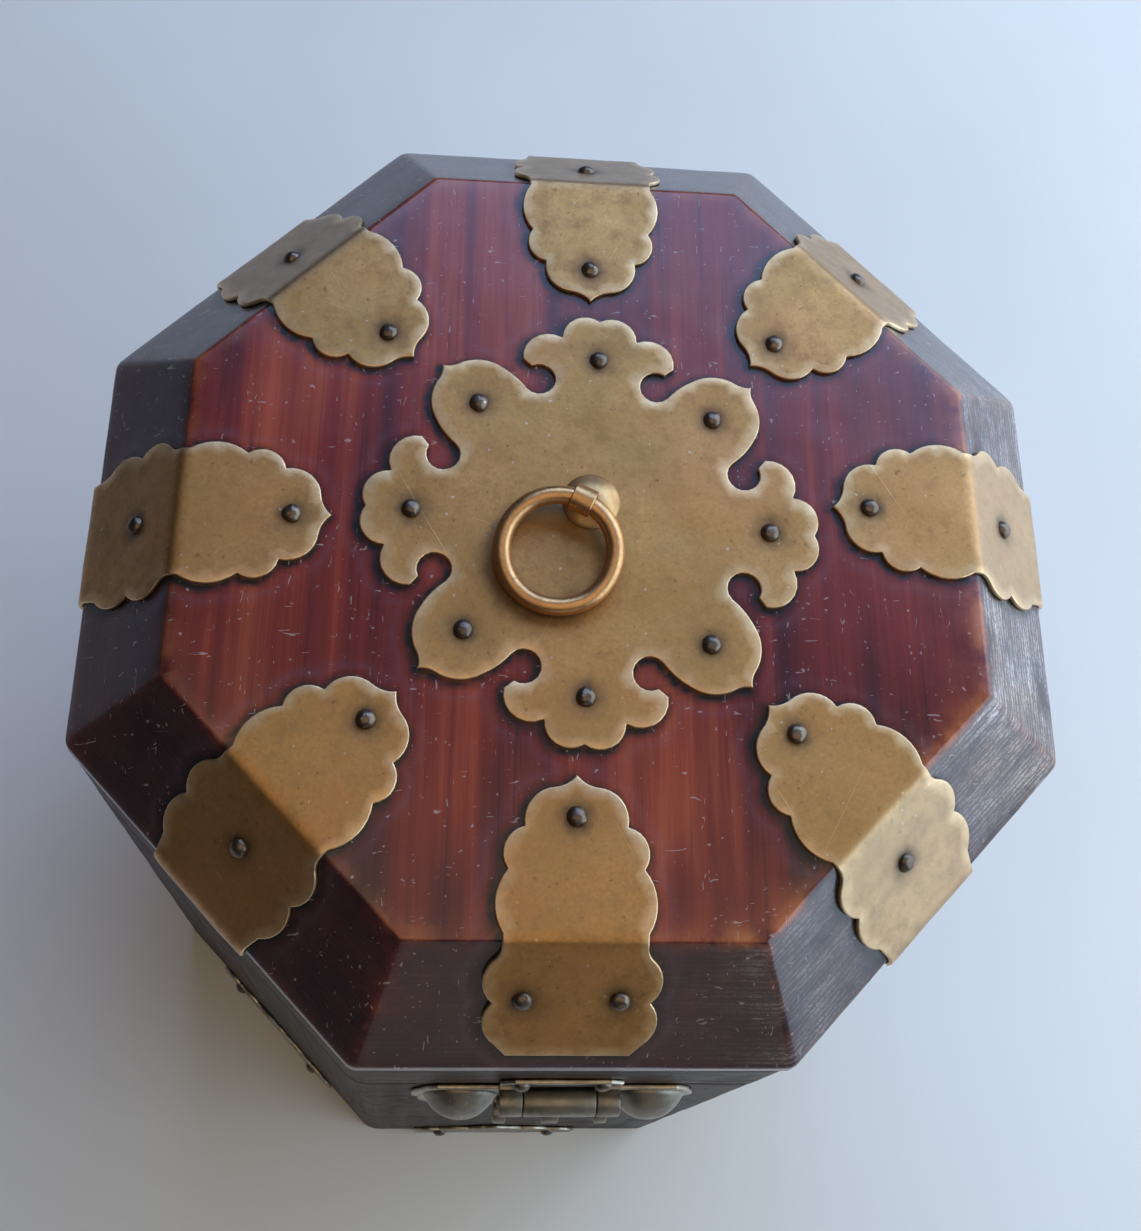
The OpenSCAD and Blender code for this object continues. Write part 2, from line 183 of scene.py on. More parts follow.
def prism(points, z0, z1, low, top, step, rows=()):
    """Solid between two heights on a closed outline, with its lower and upper edge rounded."""
    bm = bmesh.new()
    turns = [math.pi / 2 * i / 3 for i in range(4)]
    levels = [(low * (1 - math.sin(a)), z0 + low * (1 - math.cos(a))) for a in turns]
    levels += [(top * (1 - math.cos(a)), z1 - top * (1 - math.sin(a))) for a in turns]
    loops = [[bm.verts.new((q.x, q.y, z)) for q in inset(points, d)] for d, z in levels]
    skin(bm, loops)
    cap(bm, loops[-1], z1, step, rows)
    cap(bm, loops[0], z0, step, rows)
    return bm


def lathe(profile, seg=24):
    """Solid turned round Z from (radius, height) points, closed on the axis at both ends."""
    bm = bmesh.new()
    loops = []
    for r, z in profile:
        if r < 1e-6:
            loops.append([bm.verts.new((0, 0, z))])
        else:
            loops.append([bm.verts.new((r * math.cos(t), r * math.sin(t), z))
                          for t in [2 * math.pi * i / seg for i in range(seg)]])
    for a, b in zip(loops, loops[1:]):
        for i in range(seg):
            j = (i + 1) % seg
            if len(a) == 1:
                bm.faces.new((a[0], b[j], b[i]))
            elif len(b) == 1:
                bm.faces.new((a[i], a[j], b[0]))
            else:
                bm.faces.new((a[i], a[j], b[j], b[i]))
    return bm


def tube(x0, x1, y, z, outer, bore, c=0.35, seg=36):
    """Knuckle or eye along X, with its ends rounded off by c."""
    bm = bmesh.new()
    ring = [(x0, bore), (x0, outer - c), (x0 + c * 0.3, outer - c * 0.3), (x0 + c, outer),
            (x1 - c, outer), (x1 - c * 0.3, outer - c * 0.3), (x1, outer - c), (x1, bore)]
    loops = [[bm.verts.new((x, y + r * math.cos(t), z + r * math.sin(t)))
              for t in [2 * math.pi * i / seg for i in range(seg)]] for x, r in ring]
    skin(bm, loops, True)
    return bm


def block(lo, hi, r=0.15):
    """Small block with broken edges."""
    bm = bmesh.new()
    bmesh.ops.create_cube(bm, size=1)
    for v in bm.verts:
        v.co = Vector(lo) + Vector([(hi[i] - lo[i]) * (v.co[i] + 0.5) for i in range(3)])
    bmesh.ops.bevel(bm, geom=bm.edges[:], offset=r, segments=2, affect="EDGES", profile=0.5)
    return bm


def join(bms, matrices=None):
    """One mesh from several; each may be moved by its matrix first."""
    out = bmesh.new()
    for i, b in enumerate(bms):
        if matrices:
            b.transform(matrices[i])
        me = bpy.data.meshes.new("tmp")
        b.to_mesh(me)
        b.free()
        out.from_mesh(me)
        bpy.data.meshes.remove(me)
    return out


def turn(i):
    """From the front side to side i."""
    return Matrix.Rotation(math.radians(45 * i), 4, "Z")


# ---- outlines, the same as the CAD model's ----


def bulge(p, q, h, n=8):
    """Arc from p to q, p left out, that bulges by h to the right of the way."""
    if h == 0:
        return [q]
    d = q - p
    c = d.length
    r = (c * c / 4 + h * h) / (2 * h)
    m = (p + q) / 2 - Vector((d.y, -d.x)) / c * (r - h)
    a = math.atan2(p.y - m.y, p.x - m.x)
    t = 2 * math.asin(min(1, c / 2 / abs(r))) * (1 if h > 0 else -1)
    turns = [a + t * i / n for i in range(1, n + 1)]
    return [m + abs(r) * Vector((math.cos(b), math.sin(b))) for b in turns]


def chain(p, rest):
    """Arcs from p through (x, y, bulge) points, p left out."""
    out = []
    for x, y, h in rest:
        q = Vector((x, y))
        out += bulge(p, q, h)
        p = q
    return out


def outline(start, rest):
    """Closed outline from its right half: a start, then (x, y, bulge) points."""
    start = Vector(start)
    half = [start] + chain(start, rest)
    return half + [Vector((-p.x, p.y)) for p in half[-2:0:-1]]


def octagon(ap, r, n):
    """Regular octagon with corners rounded in n steps."""
    out = []
    c = (ap - r) / math.cos(HALF_SIDE)
    for j in range(8):
        a = math.radians(45 * j + 22.5)
        for i in range(n + 1):
            b = math.radians(45 * j + 45 * i / n)
            out.append(Vector((c * math.cos(a) + r * math.cos(b),
                               c * math.sin(a) + r * math.sin(b))))
    return out


def strap_outline(front):
    """Strap laid flat: y = 0 at the upper fold, the tongue on the lid's top above it."""
    s = SLOPE
    if front:
        y0 = -0.865 * s
        low = [(12.6, y0, 0), (15, -0.78 * s, 0)]
    else:
        y0 = -s - LEG
        low = [(9, 2.5 + y0, 1.2), (14, -s - 1, 1.6), (14, 1 - s, 0), (15, -0.82 * s, 0)]
    return outline((0, y0), low + [
        (16, -0.455 * s, 2.2), (16.2, -0.14 * s, 2), (14.6, -1, -0.4), (14.6, 1, 0),
        (13.9, 13.5, 2.1), (10.6, 22, 2.5), (4.4, 30, 2.3), (0, 32.5, -0.5)])


def medal_outline():
    """Four cloud lobes on the axes, four leaf lobes between them."""
    def leaf(u, w):
        return Vector((u - w, u + w)) / math.sqrt(2)
    start = leaf(50.4, 0)
    eighth = chain(start, [
        (*leaf(48.3, 2.7), -0.3), (*leaf(41, 10), 1.5), (*leaf(33.5, 10.7), 0.4)])
    for i in range(1, 13):  # the round notch between two lobes
        a = math.radians(315 - 255 * i / 12)
        eighth.append(Vector((13.5 + 3.7 * math.cos(a), 33.8 + 3.7 * math.sin(a))))
    eighth += chain(Vector((16.9, 36.9)), [(8.7, 45, 4.2), (0, 49.8, 3)])
    quarter = eighth + [Vector((-p.x, p.y)) for p in eighth[-2::-1]] + [Vector((-start.x, start.y))]
    turns = [Matrix.Rotation(math.radians(90 * j), 2) for j in range(4)]
    return [m @ p for m in turns for p in quarter]


BASE_OUT = outline((0, 1), [
    (26, 1, 0), (26, 9, 0), (18, 15.5, 2.4), (8.5, 20.5, 2), (3.5, 25, 1), (0, 28, -0.4)])
LOCK_OUT = outline((0, -45), [
    (9, -48, -1), (27, -46, 6.5), (30, -28, 2.6), (31, -9, 2.4), (27, 0, 1), (0, 0, 0)])
HINGE_OUT = outline((0, 3.2), [
    (9.5, 3.2, 0), (9.5, 8, 0), (5.5, 15, 1.8), (2.5, 19, 1), (0, 21, -0.3)])
HASP_OUT = outline((0, -41), [
    (3, -38, -0.3), (9, -32, 1.8), (8.3, -22, 1.2), (10, -13, 0.8), (10, -6, 0.8), (8, -3.8, 0),
    (8, 0, 0), (0, 0, 0)])
LEAF_OUT = [Vector(p) for p in (
    (-13.5, 3.2), (13.5, 3.2), (13.5, 10), (10.5, 12.5), (-10.5, 12.5), (-13.5, 10))]


def dense(pts, longest):
    """The closed outline with its long stretches divided."""
    out = []
    for a, b in zip(pts, pts[1:] + pts[:1]):
        n = max(1, math.ceil((b - a).length / longest))
        out += [a.lerp(b, i / n) for i in range(n)]
    return out


def signed_area(pts):
    return sum(a.x * b.y - b.x * a.y for a, b in zip(pts, pts[1:] + pts[:1])) / 2


def ccw(pts):
    """The outline anticlockwise, without doubled points."""
    out = []
    for p in pts:
        if not out or (p - out[-1]).length > 0.02:
            out.append(p)
    if (out[0] - out[-1]).length < 0.02:
        out.pop()
    return out if signed_area(out) > 0 else out[::-1]


# ---- places: (x, y, n) on a flat mount to a point on the front side ----

FOLD = 0.9  # half the length of a fold's round
TABLE = []  # along the sheet outwards from the top face: (Y, Z, angle)
TABLE_TOP, TABLE_END, TABLE_STEP = 2.0, -70, 0.05


def fold_angle(y):
    """How steeply the sheet runs down at y, over the bevel's two folds."""
    def s(at):
        return min(1, max(0, (at + FOLD - y) / (2 * FOLD)))
    return TILT * s(0) + (math.pi / 2 - TILT) * s(-SLOPE)


def make_table():
    y, py, pz = TABLE_TOP, -TOP_AP + TABLE_TOP, TOTAL
    while y > TABLE_END:
        TABLE.append((py, pz, fold_angle(y)))
        a = fold_angle(y - TABLE_STEP / 2)
        py -= TABLE_STEP * math.cos(a)
        pz -= TABLE_STEP * math.sin(a)
        y -= TABLE_STEP


make_table()


def over_bevel(x, y, n):
    """On a strap: y = 0 at the upper fold, n above the wood."""
    if y >= TABLE_TOP:
        return Vector((x, -TOP_AP + y, TOTAL + n))
    f = (TABLE_TOP - y) / TABLE_STEP
    i = min(int(f), len(TABLE) - 2)
    t = f - i
    py, pz, a = (p + (q - p) * t for p, q in zip(TABLE[i], TABLE[i + 1]))
    return Vector((x, py - n * math.sin(a), pz + n * math.cos(a)))


def on_medal(x, y, n):
    """On the plate round the ring."""
    p = Matrix.Rotation(math.radians(MEDAL_TURN), 2) @ Vector((x, y))
    return Vector((p.x + MEDAL_X, p.y + MEDAL_Y, TOTAL + n))


def upright(z0, y0=APOTHEM):
    """On an upright mount whose y = 0 is at height z0, y0 out from the middle of the box."""
    return lambda x, y, n: Vector((x, -(y0 + n), z0 + y))


LIFT = 0.03  # air under the brass, so that it doesn't coincide with the wood
RING_SHADOW_RADIUS = 12.6  # radius of the line of grime and painted shadow where the ring rests


def sheet_brass(out, place, nails, seed, side=0, shift=0.0, wave=0.16, folds=(), painted_reflection=0.0,
                ring_shadow_at=None):
    """A plate of sheet brass: rounded edges, a slight wave, dents round its nails.

    The part outside the upper fold can be made paler as a painted reflection of the window; a
    ring's middle, if given, gets a grimy line and painted shadow round it.
    Returns the mesh and for each vertex how bright its edge is (wear with painted highlight), how
    grimy and painted-shadowed, how near the rim and how much painted reflection it has.
    """
    out = dense(ccw(out), 0.7)
    rows = [f + d for f in folds for d in (-FOLD, -FOLD / 2, 0, FOLD / 2, FOLD)]
    bm = prism(out, LIFT, SHEET, 0.12, 0.34, 2.5, rows)
    verts = bm.verts[:]
    flat = [v.co.to_2d() for v in verts]
    marks = []
    for v, p, d in zip(verts, flat, nearest_edge(flat, out)):
        near = min([(p - Vector(k)).length for k in nails] + [99])
        grime_and_shade = math.exp(-max(0, near - 2.1) / 1.3)
        # grimy line and painted shadow of the ring, centred to its lower left, and broader painted
        # shade under it
        if ring_shadow_at:
            away = (p - Vector(ring_shadow_at)).length
            grime_and_shade += 0.75 * math.exp(-((away - RING_SHADOW_RADIUS) / 2.4) ** 2)
            grime_and_shade += 0.26 * math.exp(-(away / 13) ** 2)
        # bright edge (wear with painted highlight), grime with painted shadow, rim, painted window
        # reflection
        marks.append((math.exp(-d / 0.55), min(1, grime_and_shade), math.exp(-d / 4),
                      painted_reflection * min(1, max(0, 0.5 - p.y / 2))))
        w = noise.noise(Vector((p.x * 0.07, p.y * 0.07, seed * 3.7))) * wave
        w += noise.noise(Vector((p.x * 0.2, p.y * 0.2, seed * 5.1))) * wave * 0.3
        keep = 1 - math.exp(-d / 3)
        dent = -0.16 * math.exp(-((near / 4.2) ** 2))
        v.co.z = max(LIFT, v.co.z + (w * (0.35 + 0.65 * keep) + dent) * (v.co.z / SHEET))
        curl = 0.5 + noise.noise(Vector((p.x * 0.12, p.y * 0.12, seed)))
        v.co.z += 0.12 * math.exp(-d / 2.2) * curl
    for v in verts:
        v.co = turn(side) @ place(v.co.x + shift, v.co.y, v.co.z)
    return bm, marks


def brass_piece(name, parts, body, nodes, mat, extra=()):
    """One piece from plates with their marks and plain extra meshes without."""
    marks = [m for _, ms in parts for m in ms]
    bm = join([b for b, _ in parts] + list(extra))
    n = len(bm.verts) - len(marks)
    marks += [(0.25, 0.25, 0.4, 0)] * n
    ob = finish(name, bm, body, nodes, mat)
    for k, key in enumerate(("edge", "nail_grime_and_ring_shadow", "rim", "painted_reflection")):
        paint(ob.data, key, [m[k] for m in marks])


# ---- materials ----


class Mat:
    """Short way to write a node material. Distances in materials are in metres."""

    def __init__(self, name):
        self.m = bpy.data.materials.new(name)
        self.m.use_nodes = True
        self.t = self.m.node_tree
        self.b = self.t.nodes["Principled BSDF"]

    def put(self, node, key, val):
        """A link or a plain value for one of a node's inputs."""
        s = node.inputs[key]
        if isinstance(val, bpy.types.NodeSocket):
            self.t.links.new(val, s)
        else:
            s.default_value = val

    def node(self, kind, ins=None, **props):
        n = self.t.nodes.new("ShaderNode" + kind)
        for k, v in props.items():
            setattr(n, k, v)
        for k, v in (ins or {}).items():
            self.put(n, k, v)
        return n

    def math(self, op, a, b=0.0, c=None, clamp=False):
        n = self.node("Math", operation=op, use_clamp=clamp)
        self.put(n, 0, a)
        self.put(n, 1, b)
        if c is not None:
            self.put(n, 2, c)
        return n.outputs[0]

    def mul(self, a, b, clamp=False):
        return self.math("MULTIPLY", a, b, clamp=clamp)

    def muladd(self, a, b, c, clamp=False):
        return self.math("MULTIPLY_ADD", a, b, c, clamp)

    def scaled(self, vec, s, off=(0, 0, 0)):
        return self.node("Mapping", {"Vector": vec, "Scale": s, "Location": off}).outputs[0]

    def noise(self, vec, scale, detail=3.0, rough=0.55, distort=0.0):
        ins = {"Vector": vec, "Scale": scale, "Detail": detail, "Roughness": rough,
               "Distortion": distort}
        return self.node("TexNoise", ins).outputs["Fac"]

    def wave(self, kind, along, **ins):
        """Waves or rings across an axis."""
        direction = {kind.lower() + "_direction": along}
        ins = {k.replace("_", " "): v for k, v in ins.items()}
        return self.node("TexWave", ins, wave_type=kind, **direction).outputs["Fac"]

    def ramp(self, fac, stops):
        n = self.node("ValToRGB", {"Fac": fac})
        r = n.color_ramp
        while len(r.elements) < len(stops):
            r.elements.new(0.5)
        for e, (p, c) in zip(r.elements, stops):
            e.position = p
            e.color = (*c, 1)
        return n.outputs["Color"]

    def span(self, fac, a, b, lo=0.0, hi=1.0):
        """From lo to hi as fac goes from a to b."""
        ins = {"Value": fac, "From Min": a, "From Max": b, "To Min": lo, "To Max": hi}
        return self.node("MapRange", ins).outputs[0]

    def mix(self, fac, a, b, blend="MIX"):
        n = self.node("Mix", data_type="RGBA", blend_type=blend)
        self.put(n, 0, fac)
        self.put(n, 6, a)
        self.put(n, 7, b)
        return n.outputs[2]

    def attr(self, name, vector=False):
        n = self.node("Attribute", attribute_name=name)
        return n.outputs["Vector" if vector else "Fac"]

    def bump(self, height, distance, strength=1.0, below=None):
        ins = {"Height": height, "Distance": distance, "Strength": strength}
        if below is not None:
            ins["Normal"] = below
        return self.node("Bump", ins).outputs[0]

    def out(self, **ins):
        for k, v in ins.items():
            self.put(self.b, k.replace("_", " "), v)
        return self.m


STAIN = (0.017, 0.008, 0.013, 1)  # the nearly black stain of the bevels
GRIME_AND_SHADOW_COLOUR = (0.005, 0.003, 0.004, 1)  # close round the mounts: grime and painted shadow
BLOOM = (0.20, 0.17, 0.24, 1)  # thin whitish line of old polish outside the grime and painted shadow
WEATHERED, BLEACHED = (0.58, 0.42, 0.33, 1), (0.80, 0.72, 0.68, 1)
LINT = (0.50, 0.40, 0.36, 1)


def wood(name, stops, worn, gloss, coat=0.0, end_grain=False, dust=0.15, shine=0.03, haze=0.0):
    """Stained wood, its grain along the second number of the attribute "grain".

    stops: colours from the darkest streaks to the palest. worn: colour of rubbed edges.
    gloss: roughness. end_grain: for the lid board, whose bevels show it.
    """
    k = Mat(name)
    darkest = stops[0][1]
    g = k.attr("grain", True)
    broad = k.noise(k.scaled(g, (42, 2.2, 42), (1.7, 0.4, 0.0)), 1.0, 3, 0.55, 0.6)
    streak = k.noise(k.scaled(g, (170, 5.0, 170), (4, 1, 2)), 1.0, 6, 0.66, 0.5)
    fibre = k.noise(k.scaled(g, (1300, 30, 1300)), 1.0, 3, 0.6)
    heart = (0.035, 0, 0.17)  # puts the middle of the rings outside the board
    rings = k.wave("RINGS", "Y", Vector=k.scaled(g, (1, 0.10, 1), heart), Scale=62.0,
                   Distortion=3.4, Detail=3.0, Detail_Scale=1.6)
    v = k.mul(k.span(broad, 0.34, 0.66), 0.52)
    v = k.muladd(k.span(streak, 0.34, 0.66), 0.30, v)
    v = k.muladd(rings, 0.06, v)
    v = k.muladd(fibre, 0.12, v)
    if end_grain:
        v = k.math("ADD", v, k.attr("band"))
    col = k.ramp(v, stops)
    veins = k.noise(k.scaled(g, (420, 9, 420), (8, 2, 1)), 1.0, 4, 0.7, 0.6)
    col = k.mix(k.span(veins, 0.60, 0.70, 0, 0.55), col, (*[c * 0.5 for c in darkest], 1))
    blot = k.noise(k.scaled(g, (11, 5, 11)), 1.0, 2, 0.5)
    col = k.mix(k.span(blot, 0.5, 0.72, 0, 0.55), col, (*[c * 0.6 for c in darkest], 1))
    broken = k.span(k.noise(g, 130.0, 4, 0.65), 0.36, 0.60)
    wear = k.mul(k.attr("wear"), broken, clamp=True)
    col = k.mix(k.mul(wear, 0.85), col, worn)
    rough = k.span(streak, 0.2, 0.8, gloss - 0.05, gloss + 0.10)
    height = k.muladd(fibre, 0.6, k.mul(rings, 0.10))

    if end_grain:
        # The bevels are known by their slope: stained nearly black, weathered ridges on one side
        up = k.node("SeparateXYZ", {0: k.node("TexCoord").outputs["Normal"]}).outputs[2]
        tilted = k.span(up, 0.93, 0.80)
        keep = k.math("SUBTRACT", 1.0, k.mul(wear, 0.9), clamp=True)
        stain = k.mul(k.mul(tilted, keep), 0.86)
        col = k.mix(stain, col, STAIN)
        ridges = k.wave("BANDS", "Z", Vector=k.scaled(g, (0.07, 0.07, 1), heart), Scale=340.0,
                        Distortion=12.0, Detail=5.0, Detail_Scale=1.6, Detail_Roughness=0.8)
        patchy = k.span(k.noise(k.scaled(g, (50, 50, 140)), 1.0, 5, 0.72), 0.36, 0.60)
        crack = k.node("TexVoronoi", {"Vector": k.scaled(g, (620, 620, 1150)), "Scale": 1.0},
                       feature="DISTANCE_TO_EDGE").outputs["Distance"]
        ridges = k.mul(ridges, k.span(crack, 0.0, 0.13, 0.35, 1.0))
        weather = k.mul(tilted, k.mul(k.attr("weather"), patchy))
        rough = k.muladd(weather, 0.18, rough)
        height = k.math("ADD", height, k.mul(k.mul(ridges, weather), 3.0))
        tint = k.mix(k.span(k.noise(g, 55.0, 3, 0.6), 0.42, 0.62), WEATHERED, BLEACHED)
        col = k.mix(k.mul(weather, k.span(ridges, 0.25, 0.8, 0.25, 1.0)), col, tint)

    # Grime and painted shadow round the mounts, wider on their left and near sides
    grime_and_shadow = k.attr("grime_and_shadow")
    uneven = k.span(k.noise(g, 240.0, 4, 0.7), 0.35, 0.65, 0.25, 1.0)
    bloom = k.ramp(grime_and_shadow, [(0.02, (0, 0, 0)), (0.12, (1, 1, 1)), (0.30, (0, 0, 0))])
    col = k.mix(k.mul(k.mul(bloom, uneven), 0.12), col, BLOOM)
    grime_and_shade = k.span(k.muladd(uneven, 0.25, grime_and_shadow), 0.42, 0.95)
    col = k.mix(grime_and_shade, col, GRIME_AND_SHADOW_COLOUR)
    rough = k.muladd(grime_and_shadow, 0.25, rough)

    # Specks and short fibres of dust, and dull scuffs
    speck = k.noise(k.scaled(g, (760, 700, 720), (3, 1, 7)), 1.0, 1, 0.4)
    lint = k.noise(k.scaled(g, (300, 1100, 300), (1, 9, 2)), 1.0, 0, 0.0, 1.4)
    hair = k.noise(k.scaled(g, (1200, 260, 300), (6, 2, 5)), 1.0, 0, 0.0, 1.8)
    fibres = k.math("MAXIMUM", k.span(lint, 0.80, 0.84), k.span(hair, 0.81, 0.85))
    dusty = k.mul(k.math("MAXIMUM", k.span(speck, 0.745, 0.80), fibres), dust)
    col = k.mix(dusty, col, LINT)
    scuff = k.noise(k.scaled(g, (70, 70, 70), (5, 2, 1)), 1.0, 3, 0.7, 2.0)
    rough = k.math("ADD", rough, k.span(scuff, 0.5, 0.75, 0, 0.13))

    nor = k.bump(height, 0.00024, 0.5)
    nor = k.bump(k.noise(g, 45.0, 2, 0.5), 0.0009, 0.35, nor)
    nor = k.bump(k.noise(k.scaled(g, (900, 900, 900)), 1.0, 2, 0.6), 0.00006, 0.3, nor)
    return k.out(Base_Color=col, Roughness=rough, Normal=nor, Coat_Weight=coat, Coat_Roughness=0.24,
                 Coat_IOR=1.56, Specular_IOR_Level=shine, Sheen_Weight=haze, Sheen_Roughness=0.42,
                 Sheen_Tint=(0.62, 0.72, 1.0, 1))


WINDOW_REFLECTION_COLOUR = (0.46, 0.42, 0.33, 1)  # painted reflection of the window on the straps' bevels
BRASS_DUST = (0.70, 0.60, 0.46, 1)


def brass(name, base, olive, bright, grime_and_shade, rough, hammer=0.0003, marks=True, film=0.6):
    """Aged brass: olive and golden patches, scratches, bright edges that are partly wear and partly
    painted highlight, grimy rings round the nails and painted shadow round the ring.

    hammer: depth of the dents. marks: whether brass_piece painted the mesh. film: dull coat.
    """
    k = Mat(name)
    g = k.node("TexCoord").outputs["Object"]
    patch = k.noise(g, 38.0, 4, 0.6, 0.4)
    small = k.noise(g, 260.0, 4, 0.65)
    mottle = k.noise(g, 1100.0, 3, 0.7)
    red = k.noise(k.scaled(g, (24, 24, 24), (9, 4, 2)), 1.0, 3, 0.6)
    pits = k.span(k.noise(g, 700.0, 2, 0.5), 0.66, 0.78)
    col = k.mix(k.span(patch, 0.35, 0.68), (*olive, 1), (*base, 1))
    col = k.mix(k.span(small, 0.48, 0.70, 0, 0.45), col, (*[c * 0.6 for c in olive], 1))
    col = k.mix(k.span(mottle, 0.40, 0.62, 0, 0.40), col, (*[c * 0.55 for c in base], 1))
    ruddy = (base[0] * 0.86, base[1] * 0.70, base[2] * 0.72, 1)
    col = k.mix(k.span(red, 0.46, 0.70, 0, 0.5), col, ruddy)
    col = k.mix(k.mul(pits, 0.5), col, (*grime_and_shade, 1))
    r = k.span(small, 0.3, 0.75, rough - 0.07, rough + 0.12)
    height = k.muladd(small, 0.35, k.noise(g, 120.0, 3, 0.5))
    height = k.muladd(mottle, 0.10, height)
    if marks:
        # painted reflection of the window on the straps outside their upper fold
        col = k.mix(k.attr("painted_reflection"), col, WINDOW_REFLECTION_COLOUR)
        broken = k.span(k.noise(g, 210.0, 3, 0.6), 0.3, 0.6, 0.35, 1)
        # bright edges: wear, and painted highlight along the rounded edges
        worn = k.mul(k.attr("edge"), broken, clamp=True)
        col = k.mix(k.mul(worn, 0.9), col, (*bright, 1))
        r = k.muladd(worn, -0.12, r)
        # grime round the nails with the ring's painted shadow, and grime near the outline
        gr = k.mul(k.attr("nail_grime_and_ring_shadow"), 0.85)
        rim = k.span(patch, 0.4, 0.7, 0.0, 0.30)
        gr = k.muladd(k.attr("rim"), rim, gr, clamp=True)
        gr = k.math("SUBTRACT", gr, worn, clamp=True)
        col = k.mix(gr, col, (*grime_and_shade, 1))
        r = k.muladd(gr, 0.2, r)
    lines = []
    for angle, off in ((0.5, 0), (1.9, 3), (2.6, 8)):
        v = k.node("VectorRotate", {"Vector": g, "Angle": angle}, rotation_type="Z_AXIS").outputs[0]
        v = k.scaled(v, (1600, 22, 300), (off, off, 0))
        lines.append(k.span(k.noise(v, 1.0, 2, 0.4), 0.75, 0.80))
    scratch = k.math("MAXIMUM", k.math("MAXIMUM", lines[0], lines[1]), lines[2])
    r = k.muladd(scratch, -0.08, r)
    col = k.mix(k.mul(scratch, 0.10), col, (*bright, 1))
    dust = k.noise(k.scaled(g, (760, 700, 720), (2, 4, 1)), 1.0, 1, 0.4)
    col = k.mix(k.span(dust, 0.745, 0.80, 0, 0.5), col, BRASS_DUST)
    nor = k.bump(height, hammer, 0.5)
    nor = k.bump(scratch, 0.00005, 0.4, nor)
    return k.out(Base_Color=col, Metallic=1.0, Roughness=r, Normal=nor, Coat_Weight=film,
                 Coat_IOR=1.55, Coat_Roughness=0.42)


def cloth(name):
    k = Mat(name)
    g = k.node("TexCoord").outputs["Object"]
    threads = [k.wave("BANDS", across, Vector=g, Scale=330.0, Distortion=0.6, Detail=1.0)
               for across in "XY"]
    weave = k.mul(*threads)
    tone = k.noise(g, 60.0, 3, 0.6)
    col = k.mix(k.span(weave, 0.0, 0.9), (0.075, 0.010, 0.014, 1), (0.26, 0.040, 0.050, 1))
    col = k.mix(k.span(tone, 0.4, 0.7, 0, 0.4), col, (0.12, 0.025, 0.024, 1))
    nor = k.bump(weave, 0.0002, 0.8)
    return k.out(Base_Color=col, Roughness=0.95, Sheen_Weight=0.3, Normal=nor)


LID = wood("lid_wood",
           [(0.14, (0.030, 0.003, 0.005)), (0.40, (0.120, 0.009, 0.008)),
            (0.62, (0.21, 0.020, 0.010)), (0.90, (0.40, 0.070, 0.024))],
           (0.52, 0.15, 0.045, 1), 0.40, 1.0, True, 0.5, 0.10, 0.03)
RIM = wood("rim_wood",
           [(0.22, (0.003, 0.002, 0.003)), (0.42, (0.007, 0.004, 0.004)),
            (0.62, (0.018, 0.006, 0.005)), (0.86, (0.04, 0.013, 0.009))],
           (0.055, 0.02, 0.012, 1), 0.30)
BODY = wood("box_wood",
            [(0.22, (0.003, 0.002, 0.003)), (0.42, (0.008, 0.004, 0.004)),
             (0.62, (0.024, 0.008, 0.006)), (0.86, (0.05, 0.016, 0.010))],
            (0.075, 0.027, 0.015, 1), 0.32)
# Brass: golden colour, olive colour, bright edges (wear and painted highlight), grime and painted
# shadow, roughness
BRASS = brass("sheet_brass", (0.61, 0.304, 0.084), (0.45, 0.232, 0.058), (0.97, 0.70, 0.40),
              (0.040, 0.022, 0.010), 0.47)
DULL = brass("dull_brass", (0.25, 0.22, 0.165), (0.17, 0.158, 0.125), (0.62, 0.53, 0.38),
             (0.025, 0.02, 0.014), 0.44)
NAIL = brass("nail_brass", (0.20, 0.14, 0.09), (0.12, 0.085, 0.06), (0.5, 0.38, 0.24),
             (0.02, 0.014, 0.01), 0.34, 0.0005, False)
RING = brass("ring_brass", (0.80, 0.45, 0.19), (0.60, 0.31, 0.12), (0.9, 0.62, 0.38),
             (0.04, 0.02, 0.012), 0.36, 0.0004, False, 0.3)
CLOTH = cloth("lining_cloth")

# ---- the wooden lid ----


def fillet(points, radii, n=4):
    """Profile points with their corners rounded."""
    out = [points[0]]
    for p, q, s, r in zip(points, points[1:], points[2:], radii):
        a, b = (p - q).normalized(), (s - q).normalized()
        half = a.angle(b) / 2
        d = r / math.tan(half)
        c = q + (a + b).normalized() * (r / math.sin(half))
        u, w = q + a * d - c, q + b * d - c
        for i in range(n + 1):
            m = u.lerp(w, i / n)
            out.append(c + m.normalized() * r)
    return out + [points[-1]]


def edge_distance(p):
    """A lid point's distances from its upper fold, lower edge and nearest hip, and how far down
    the bevel it is, from 0 to 1."""
    turns = [math.radians(45 * i) for i in range(8)]
    second, first = sorted(p.x * math.cos(a) + p.y * math.sin(a) for a in turns)[-2:]
    hip = (first - second) / (2 * math.sin(HALF_SIDE))
    t = min(1.0, max(0.0, (TOTAL - p.z) / BEVEL_H))
    on_top = abs(TOP_AP - first) if p.z > TOTAL - 1.5 else (TOTAL - p.z) / math.sin(TILT)
    low = math.hypot(p.z - RIM_Z, APOTHEM - first)
    return on_top, low, (hip if first > TOP_AP - 0.5 else 99.0), t


def octagon_ring(ap, r, per_side):
    """Rounded octagon with each side divided, so that rings of any size match point for point."""
    per_corner = 4
    pts = octagon(ap, r, per_corner)
    out = []
    for i, p in enumerate(pts):
        q = pts[(i + 1) % len(pts)]
        n = per_side if i % (per_corner + 1) == per_corner else 1
        out += [p.lerp(q, k / n) for k in range(n)]
    return out


SHADE = Vector((0.55, 0.45, 0))  # grime and painted shadow lie wider on the left and near sides of the mounts
